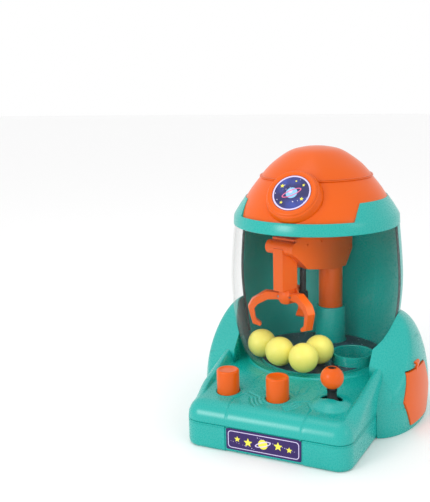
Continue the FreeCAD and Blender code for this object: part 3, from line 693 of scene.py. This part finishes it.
def front_plate():
    """Name plate with a generic space picture: a ringed planet, stars and dots inside a border."""
    what = "name_plate"
    half_x, half_z = half_size(what), half_size(what, 2)
    upright = Matrix.Rotation(math.radians(90), 4, "X")
    stand = Matrix.Translation((0, base_front + 1.4, middle(what).z)) @ upright
    card = slab(rounded_rectangle(half_x, half_z, 1.6), 1.0)
    stands_for(piece("plate_card", *card, PLATE_FILM, at=stand, bevel=0.15), what)
    sheet = stand @ Matrix.Translation((0, 0, 0.98))
    border = band(rounded_rectangle(half_x - 1.9, half_z - 1.9, 3.2),
                  rounded_rectangle(half_x - 2.6, half_z - 2.6, 2.6))
    printed("plate_border", border, LILAC_INK, sheet, what)
    printed("plate_planet", slab(disc_outline(4.6)), YELLOW_INK, sheet, what, lift=0.01)
    halo = band(ellipse_ring(8.2, 2.4, 0.35), ellipse_ring(6.9, 1.5, 0.35), 0.09)
    printed("plate_halo", halo, LILAC_INK, sheet, what, lift=0.05)
    for side in (-1, 1):
        for step, size, rise in ((14.5, 4.4, 0.8), (25.0, 3.0, -0.8)):
            name = "plate_star_%d_%d" % (side + 1, step)
            printed(name, slab(star_outline(size)), YELLOW_INK, sheet, what, side * step, side * rise, 0.01)
    dots = []
    for k in range(26):
        u = ((k * 0.618034) % 1 - 0.5) * 2 * (half_x - 5)
        v = ((k * 0.381966 + 0.37) % 1 - 0.5) * 2 * (half_z - 4)
        dots.append(((u, v, 0), 0.0, 0.6 + 0.5 * ((k * 7) % 5) / 5))
    dot = pattern("plate_dot_shape", *slab(disc_outline(0.42, 8), 0.06))
    made = repeated("plate_dots", dots, dot, LILAC_INK)
    made.data.transform(Matrix.Scale(MM, 4) @ sheet @ Matrix.Scale(1 / MM, 4))
    goes_with(made, what)


# ---- side pods ----
door_y, door_z = -19.0, 31.5
pod_centre = Vector((pod_middle, 0, pod_height))
facet_a, facet_b, facet_c = map(Vector, ((72.5, -51, 63), (86, -2, 108), (104.2, -39, 57.8)))
facet_out = (facet_c - facet_a).cross(facet_b - facet_a).normalized()
facet_reach = facet_out.dot(facet_a - pod_centre)


def in_opening(y, z):
    """True where the six-sided door opening covers a place seen from the side."""
    half_high, half_wide, flat = 26.5, 31.6, 20.3
    v = door_z - z if z < door_z else max(z - 0.8 - door_z, 0)
    if v > half_high:
        return False
    return abs(y - door_y) < half_wide - (half_wide - flat) * v / half_high


def body_radius(z, y=0.0):
    """Outer radius of the round body, with the window's narrower foot in front of the sill."""
    line = window_line if y < sill_y else back_line
    return float(np.interp(z, [p[0] for p in line], [p[1] for p in line]))


def deck_height(x, y):
    return float(deck_shape(np.array([abs(x)]), np.array([y]))[0])


def blocked(x, y, z):
    """True inside the base or the round body, where a pod's skin stops."""
    half = float(half_width(y))
    window_front_y, window_front_x, gap = -36, 70, 0.2
    if z < tray_top + 0.3 and y < base_back:
        if y > 0:
            return math.hypot(x, y) < base_back + gap
        return abs(x) < half + gap
    if y < window_front_y and abs(x) < window_front_x:
        return True
    if y < sill_y and abs(x) < half - 3 and z < deck_height(x, y) - 0.6:
        return True
    return math.hypot(x, y) < body_radius(z, y) + 0.3


def pod_skin(side):
    """Egg-shaped pod, drawn as rings round its outermost point. The right one has the door's opening
    at its middle. Each ray runs out until it meets the body, the base or the table."""
    axis = Vector((1, 0, 0))
    if side > 0:
        to_door = Vector((103, door_y, door_z)) - pod_centre
        axis = Vector(d / radius for d, radius in zip(to_door, pod_radii)).normalized()
    across = axis.cross(Vector((0, 0, 1))).normalized()
    up = across.cross(axis).normalized()
    rays, rings = 260, 80       # the last ring drops the edge down to the console
    crease = 40                 # higher is sharper

    def place(a, reach):
        d = axis * math.cos(reach) + (across * math.cos(a) + up * math.sin(a)) * math.sin(reach)
        out = Vector((pod_radii[0] * d.x, pod_radii[1] * d.y, pod_radii[2] * d.z))
        beyond = max(out.dot(facet_out) / facet_reach, 0.01)
        x, y, z = pod_centre + out * (1 + beyond ** crease) ** (-1 / crease)
        if z < 3:
            z = 1.5 * math.log(1 + math.exp(z / 1.5))
            z = max(z - 0.15, 0.0)
        return x, y, z

    def bisect(a, start, end, stop):
        for _ in range(14):
            half = (start + end) / 2
            if stop(*place(a, half)):
                end = half
            else:
                start = half
        return start

    points = []
    for i in range(rays):
        a = 2 * math.pi * i / rays
        first = 0.002
        if side > 0:
            first = bisect(a, 0.0, 1.4, lambda x, y, z: not in_opening(y, z))
        last = first + 0.03
        while last < 2.6 and not blocked(*place(a, last)):
            last += 0.03
        last = bisect(a, last - 0.03, last, blocked)
        for k in range(rings - 1):
            points.append(place(a, first + (last - first) * k / (rings - 2)))
        x, y, z = points[-1]
        if y < sill_y and abs(x) < float(half_width(y)) and z < 90:
            z = min(z, deck_height(x, y) - 0.8)
        points.append((x, y, z))
    spots = np.array(points)
    x, y, z = spots.T
    normal = (spots - np.array(pod_centre)) / np.square(pod_radii)
    normal /= np.linalg.norm(normal, axis=1)[:, None]
    lines = groove(to_segment(y, z, -9, 84, 30, 78), 0.5, 0.8)
    lines += groove(to_segment(y, z, -62, 26, -47, 26.4), 0.6, 0.7) * (x > 84)
    lines += groove(to_segment(y, z, -55.5, 51, -62, 33), 0.7, 0.6)
    lines += groove(to_segment(y, z, -62, 33, -52, 31), 0.6, 0.6)
    drop = np.minimum(to_segment(y, z, 22, 72, 34, 66), to_segment(y, z, 22, 72, 19, 60))
    lines += groove(np.minimum(drop, to_segment(y, z, 34, 66, 19, 60)), 0.5, 0.6)
    spots = spots + normal * lines[:, None] * (z > 2)[:, None]
    spots[:, 0] *= side
    faces = [tuple(i % len(spots) for i in face) for face in grid_faces(rays + 1, rings)]
    name = "right_pod" if side > 0 else "left_pod"
    skin = piece(name + "_skin", [tuple(p) for p in spots], faces, TEAL,
                 outward_from=(side * pod_middle, 0, pod_height), thick=1.8, angle=50)
    return stands_for(skin, name)


# ---- round body ----
def back_skin():
    """Back half of the round body, with two upright seams between a waist line and a shoulder line."""
    profile = through(back_line, 10)
    points, faces = turned(profile, right_edge + joint_gap, left_edge - right_edge - 2 * joint_gap, steps=190)
    spots = np.array(points)
    radius = np.hypot(spots[:, 0], spots[:, 1])
    angle = np.degrees(np.arctan2(spots[:, 1], spots[:, 0]))
    bead = groove(spots[:, 2] - 182, 0.5, 0.8) + groove(spots[:, 2] - 34, 0.5, 0.8)
    for at in (60, 120):
        bead = bead + groove((angle - at) * 1.48, 0.6, 0.9) * (spots[:, 2] > 34) * (spots[:, 2] < 182)
    factor = (radius + bead) / radius
    spots[:, 0] *= factor
    spots[:, 1] *= factor
    way_left, way_back, way_top = 40, high("ball_ramp")[1], 44

    def open_way(face):
        xs, ys, zs = spots[list(face)].T
        return xs.min() > way_left and ys.max() < way_back and zs.max() < way_top

    faces = [f for f in faces if not open_way(f)]
    skin = piece("back_skin", [tuple(p) for p in spots], faces, TEAL, outward_from=(0, 0, 100), thick=2.2,
                 bevel=0.3, angle=50)
    return stands_for(skin, "back_shell")


def on_back(degrees, z, lift):
    """Place, turn and size of a small shape that lies on the back shell."""
    a = math.radians(degrees)
    r = body_radius(z) + lift
    return (r * math.cos(a), r * math.sin(a), z), a - math.pi / 2, 1.0


def speaker_grille():
    """Slots over the speaker, low on the back, drawn as black inlays with rounded ends: painted shade for the
    dark insides of the slots.
    """
    # Painted shade: black slabs stand for the shaded insides of the slots.
    slot = pattern("grille_slot_shape", *slab(rounded_rectangle(0.9, 7.0, 0.85, 3), 0.5))
    slot.data.transform(Matrix.Rotation(math.radians(90), 4, "X"))
    places = [on_back(90 + (k - 4) * 3.2, 56, 0.15) for k in range(9)]
    return goes_with(repeated("speaker_grille", places, slot, BLACK), "back_shell")


def back_bosses():
    """Screw wells in the back shell with their screws."""
    well = [(0, 0), (4.6, 0), (4.6, 0.7), (4.2, 1.0), (3.5, 1.0), (3.5, 0.1), (0, 0.1)]
    places = [on_back(degrees, z, -0.4) for z in (50, 172) for degrees in (38, 142)]
    for name, line, steps, material in (("back_screw_wells", well, 28, TEAL),
                                        ("back_screws", rounded(3.0, 0, 1.3, 0.5), 24, ZINC)):
        shape = pattern(name + "_shape", *closed(line, steps=steps))
        shape.data.transform(Matrix.Rotation(math.radians(-90), 4, "X"))
        goes_with(repeated(name, places, shape, material), "back_shell")


def window_skin():
    """Clear window over the front half. Its foot is drawn in to sit on the console's sill."""
    profile = through(window_line, 9)
    sweep = 360 + right_edge - left_edge - 2 * joint_gap
    points, faces = turned(profile, left_edge + joint_gap, sweep, steps=140)
    skin = piece("window_skin", points, faces, CLEAR, outward_from=(0, 0, 100), thick=1.4, angle=60)
    return stands_for(skin, "window")


def window_strip(side):
    """Dark seal between the window and the back shell."""
    start = (right_edge if side > 0 else left_edge) - 0.6
    profile = through(tuple(p for p in back_line if p[0] > 60), 8)
    points, faces = turned(profile, start=start, sweep=1.2, steps=2)
    name = "window_seal_right" if side > 0 else "window_seal_left"
    strip = piece(name + "_strip", points, faces, SEAL, outward_from=(0, 0, 100), thick=2.0)
    return stands_for(strip, name)


def collar_skin():
    """Ring under the nose. It is low across the front and stands up round the sides and back."""
    profile = [(r, z) for z, r in collar_line]
    step_radius = float(np.interp(collar_step_z, [z for r, z in profile], [r for r, z in profile]))
    step = [(step_radius, collar_step_z)]
    low_rows = [p for p in profile if p[1] < collar_step_z] + step
    tall_rows = step + [p for p in profile if p[1] > collar_step_z]
    front_steps, back_steps = 60, 150
    edge = math.degrees(math.acos(collar_step_x / step_radius))
    points = []
    for r, z in low_rows:
        ring = arc(r, -edge, 180 + edge, back_steps) + arc(r, 180 + edge, 360 - edge, front_steps)[1:-1]
        points += [(x, y, z) for x, y in ring]
    faces = ring_faces(len(low_rows), back_steps + front_steps)
    faces += ring_faces(len(tall_rows), back_steps + 1, whole=False, first=len(points))
    for r, z in tall_rows:
        limit = math.degrees(math.acos(min(collar_step_x / r, 1)))
        points += [(x, y, z) for x, y in arc(r, -limit, 180 + limit, back_steps)]
    skin = piece("collar_skin", points, faces, TEAL, outward_from=(0, 0, 200), thick=2.6, bevel=0.7, angle=45)
    return stands_for(skin, "collar")


def nose():
    """Lower cone and the rounded tip that sits on it."""
    for name, line, inside in (("nose_cone", nose_line, 200), ("nose_tip", tip_line, 230)):
        points, faces = turned(through(line, 8), steps=160)
        skin = piece(name + "_skin", points, faces, ORANGE, outward_from=(0, 0, inside), thick=1.6, angle=50)
        stands_for(skin, name)


def porthole():
    """Round boss on the nose with a picture: planet with a pale spot, ring and stars in a lilac border."""
    stand = Matrix.Translation((0, -70.2, 230.2)) @ Matrix.Rotation(math.radians(90 - 38), 4, "X")
    line = [(0, -0.8), (18.8, -0.8), (19.1, -0.2), (19.6, 0), (22.6, 0), (23.4, -0.3), (23.9, -1.1),
            (24, -2.2), (24.5, -2.5), (25.2, -2.9), (25.5, -3.6), (25.9, -6), (26.8, -9), (28.5, -14)]
    boss = piece("porthole_ring", *closed(line, steps=120), ORANGE, at=stand, outward_from=(0, 0, 190),
                 thick=1.0, angle=40)
    stands_for(boss, "porthole_boss")
    what, steps = "porthole_sticker", 72
    card = slab(disc_outline(18.5, steps), 0.3)
    stands_for(piece("porthole_card", *card, NOSE_FILM, at=stand @ Matrix.Translation((0, 0, -0.75))), what)
    sheet = stand @ Matrix.Translation((0, 0, -0.46))
    border = band(disc_outline(18.3, steps), disc_outline(16.9, steps))
    printed("porthole_border", border, LILAC_INK, sheet, what)
    printed("porthole_planet", slab(disc_outline(5.6, 48)), BLUE_INK, sheet, what)
    printed("porthole_shine", slab(disc_outline(2.1, 32)), LILAC_INK, sheet, what, -1.4, 1.6, 0.05)
    halo = band(ellipse_ring(9.8, 3.2, 0.5, 60), ellipse_ring(8.6, 2.3, 0.5, 60), 0.09)
    printed("porthole_halo", halo, PINK_INK, sheet, what, lift=0.09)
    stars = ((-10.5, 7, 2.3), (10, 8.5, 1.6), (11, -6, 2.1), (-8, -10.5, 1.7), (2, 12.5, 1.2))
    for k, (x, y, size) in enumerate(stars):
        printed("porthole_star_%d" % k, slab(star_outline(size)), YELLOW_INK, sheet, what, x, y)


# ---- inside the window ----
def play_area():
    """Floor with its printed film, and the chute ring with a softened lip."""
    from_cad("play_floor", 0.3)
    from_cad("floor_sticker", 0)
    outer = half_size("chute_ring")
    inner = outer - 2.0
    top, bottom = high("chute_ring")[2], low("chute_ring")[2]
    line = [(outer, bottom), (outer, top), (inner + 0.4, top), (inner, top - 0.5), (inner, bottom),
            (outer, bottom)]
    points, faces = turned(line, steps=96, centre=middle("chute_ring"))
    stands_for(piece("chute_well", points, faces, TEAL, bevel=0.3), "chute_ring")


def ball_pile():
    """Hollow blow-moulded balls with a faint seam round the middle, all one mesh."""
    work = bmesh.new()
    work.from_mesh(frame["nodes"]["prize_balls"].data)
    bmesh.ops.remove_doubles(work, verts=work.verts, dist=0.01 * MM)
    groups, seen = [], set()
    for vert in work.verts:
        if vert in seen:
            continue
        group, front = set(), {vert}
        while front:
            group |= front
            front = {e.other_vert(v) for v in front for e in v.link_edges} - group
        seen |= group
        groups.append([v.co.copy() for v in group])
    work.free()
    points, faces = [], []
    for n, group in enumerate(groups):
        lows = Vector(min(c[i] for c in group) for i in range(3)) / MM
        highs = Vector(max(c[i] for c in group) for i in range(3)) / MM
        centre, radius = (lows + highs) / 2, (highs.z - lows.z) / 2
        ball = bmesh.new()
        bmesh.ops.create_uvsphere(ball, u_segments=56, v_segments=40, radius=1.0)
        turn = Matrix.Rotation(0.7 + n * 1.3, 3, "X") @ Matrix.Rotation(n * 0.9, 3, "Y")
        first = len(points)
        for v in ball.verts:
            seam = 1.0 + 0.004 * math.exp(-(v.co.z / 0.02) ** 2)
            points.append(tuple(centre + turn @ v.co * (radius * 0.996 * seam)))
        for f in ball.faces:
            faces.append(tuple(first + v.index for v in f.verts))
        ball.free()
    pile = piece("prize_ball_pile", points, faces, YELLOW, angle=80)
    return stands_for(pile, "prize_balls")


def column():
    """Fixed teal column with a rounded collar at its top."""
    radius, bore = half_size("column_tube"), 13.3
    top, foot = high("column_tube")[2], floor_top + 0.3
    line = [(radius, foot), (radius, top - 1.6), (radius - 0.4, top - 0.6), (radius - 1.2, top),
            (bore + 0.3, top), (bore, top - 0.4), (bore, foot), (radius, foot)]
    points, faces = turned(line, steps=96, centre=middle("column_tube"))
    return stands_for(piece("column_sleeve", points, faces, TEAL, angle=40), "column_tube")


# ---- controls ----
def button_cap(name):
    """Tall cap with a softened top edge, a shallow dished top and the guide flange below the deck."""
    centre, top, bottom = middle(name), high(name)[2], low(name)[2]
    radius, flange, deck = button_radius - 0.05, 12.6, 42.0
    line = [(0, deck - 2.2), (flange, deck - 2.2), (flange, deck - 1.0), (radius, deck - 1.0),
            (radius, top - 1.7), (radius - 0.25, top - 0.8), (radius - 0.9, top - 0.2), (radius - 1.6, top),
            (radius - 2.4, top - 0.15), (radius - 3.2, top - 0.55), (radius - 6, top - 0.8), (0, top - 0.85)]
    cap = piece(name + "_cap", *closed(line, steps=80, centre=centre), ORANGE, angle=50)
    stands_for(cap, name)
    pin = closed(rounded(2.6, bottom, deck - 2.3, 0.3), steps=24, centre=centre)
    return goes_with(piece(name + "_stem", *pin, ORANGE, angle=40), name)


def coil_spring(node_name):
    """Wire coil, swept along a helix by Geometry Nodes."""
    centre, bottom, top = middle(node_name), low(node_name)[2], high(node_name)[2]
    wire, coil, turns, travel = 0.45, 9.4, 5.5, 4.0
    tree, start, sockets = new_tree(node_name + " coil", Turns="Float", Radius="Float", Height="Float",
                                    Wire="Float")
    helix = node(tree, "GeometryNodeCurveSpiral", {"Resolution": 40}, Rotations=start.outputs["Turns"],
                 Start_Radius=start.outputs["Radius"], End_Radius=start.outputs["Radius"],
                 Height=start.outputs["Height"])
    section = node(tree, "GeometryNodeCurvePrimitiveCircle", {"Resolution": 8}, Radius=start.outputs["Wire"])
    swept = node(tree, "GeometryNodeCurveToMesh", {"Fill Caps": True}, Curve=helix.outputs[0],
                 Profile_Curve=section.outputs[0])
    made = add_object(node_name + "_coil", bpy.data.meshes.new(node_name + "_coil"))
    values = (turns, coil * MM, (top - bottom - 2 * wire) * MM, wire * MM)
    grown(made, tree, swept.outputs[0], WIRE, zip(sockets.values(), values))
    made.data.transform(Matrix.Translation(Vector((centre[0], centre[1], bottom + wire)) * MM))
    stands_for(made, node_name)
    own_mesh(made)


def joystick():
    """Ball with a flat recess on top, on a waisted black stem that runs down through the slot."""
    radius, cut = half_size("joystick_ball"), 9.2
    ball_z = low("joystick_ball")[2] + cut
    recess_radius, recess_z = 4.2, ball_z + 8.6
    high_angle = math.degrees(math.acos(recess_radius / radius))
    low_angle = -math.degrees(math.asin(cut / radius))
    line = [(0, recess_z), (3.9, recess_z)]
    line += arc(radius, high_angle, low_angle, 36, 0, ball_z) + [(0, ball_z - cut)]
    ball = piece("joystick_knob", *closed(line, steps=72, centre=stick), ORANGE, angle=40)
    stands_for(ball, "joystick_ball")
    plug = closed(rounded(3.7, ball_z + 8.5, ball_z + cut, 0.2), steps=32, centre=stick)
    goes_with(piece("joystick_plug", *plug, BLACK, angle=40), "joystick_ball")
    from_cad("joystick_stem", 0.4)
    neck = [(0, 46), (6.0, 46), (6.3, 48.5), (5.2, 50.0), (4.5, 51.5), (4.3, 57.0), (4.9, 58.6), (0, 59.0)]
    sleeve = piece("joystick_sleeve", *closed(neck, steps=40, centre=stick), BLACK, angle=60)
    goes_with(sleeve, "joystick_stem")
    from_cad("joystick_bracket", 0.3)
    # Painted shade: a black plate under the deck's slot makes the opening read dark, in place of the shade
    # inside it.
    shade_plate = piece("slot_lining", *slab(rounded_rectangle(13, 7.4, 3), 0.8), BLACK,
                   at=Matrix.Translation((stick[0], stick[1], 42.9)))
    goes_with(shade_plate, "joystick_bracket")


# ---- build ----
stands_for(tray_skin(), "base_tray")
goes_with(bottom_plate(), "base_tray")
console_skin()
goes_with(sill_ring(), "console_deck")
front_plate()
from_cad("prize_door", 0.5)
back_skin()
speaker_grille()
back_bosses()
window_skin()
for side in (1, -1):
    pod_skin(side)
    window_strip(side)
collar_skin()
nose()
porthole()
play_area()
ball_pile()
column()
for place in ("left", "middle"):
    button_cap("button_" + place)
    coil_spring("button_spring_" + place)
joystick()

# Nodes whose own shape is right, by how far their edges are softened.
softened = {
    0.9: "boom_left boom_right",
    0.7: "claw_carrier finger_1 finger_2 finger_3",
    0.6: "drive_box",
    0.5: "arm_tube claw_hub",
    0.4: "claw_rod ball_ramp battery_cells speaker",
    0.3: "rubber_feet battery_box drive_motor lift_sleeve guide_post power_switch_body power_slider",
    0.2: "battery_door board_posts spring_seats switches stick_switches",
    0.0: "bottom_screws control_board battery_contacts boom_screws finger_pins joystick_pin door_hinge_pin "
         "battery_door_screw",
}
for edge, names in softened.items():
    for name in names.split():
        from_cad(name, edge)


# ---- table, light and camera ----
def stage():
    """Pale paper under the machine, even light from all round and four soft panels."""
    floor = bpy.data.meshes.new("table_top")
    reach = 6.0
    corners = [(x * reach, y * reach, 0) for x, y in ((-1, -1), (1, -1), (1, 1), (-1, 1))]
    floor.from_pydata(corners, [], [(0, 1, 2, 3)])
    material, tree, principled = new_material("matt white paper", Roughness=0.9)
    fibre = node(tree, "ShaderNodeTexNoise", {"Scale": 1.0, "Detail": 4.0}, Vector=object_space(tree, 3))
    shade = node(tree, "ShaderNodeMapRange", {"To Min": 0.94, "To Max": 0.97}, Value=fibre.outputs[0])
    join(tree, principled, Base_Color=shade.outputs[0])
    floor.materials.append(material)
    add_object("table_top", floor)
    world = bpy.data.worlds.new("studio")
    world.use_nodes = True
    background = world.node_tree.nodes["Background"]
    background.inputs[0].default_value = (1, 1, 1, 1)
    background.inputs[1].default_value = 1.0
    bpy.context.scene.world = world
    aim = Vector((0, 0.02, 0.07))
    for name, place, size, power in (("front_panel", (-0.5, -1.1, 0.55), 0.4, 4),
                                     ("side_panel", (1.2, -0.3, 0.7), 0.4, 0.8),
                                     ("top_panel", (-0.2, -0.2, 1.5), 0.6, 1.5),
                                     ("inside_fill", (0.04, -0.05, 0.15), 0.06, 0.03)):
        data = bpy.data.lights.new(name, "AREA")
        data.energy = power
        data.size = size
        lamp = add_object(name, data)
        lamp.location = place
        lamp.rotation_mode = "QUATERNION"
        lamp.rotation_quaternion = (aim - Vector(place)).to_track_quat("-Z", "Y")


def camera():
    """Eye a little to the right and above, rolled slightly, with the machine low and right in the frame."""
    eye = Vector((255.1, -755.6, 335.2)) * MM
    target = Vector((-114.3, 0, 152.5)) * MM
    data = bpy.data.cameras.new("camera")
    data.sensor_width = 36
    data.lens = 57.09
    view = add_object("camera", data)
    view.location = eye
    view.rotation_mode = "QUATERNION"
    roll = Quaternion((0, 0, 1), math.radians(-1.61))
    view.rotation_quaternion = (target - eye).to_track_quat("-Z", "Y") @ roll
    bpy.context.scene.camera = view


stage()
camera()
bpy.context.scene.view_settings.view_transform = "Standard"
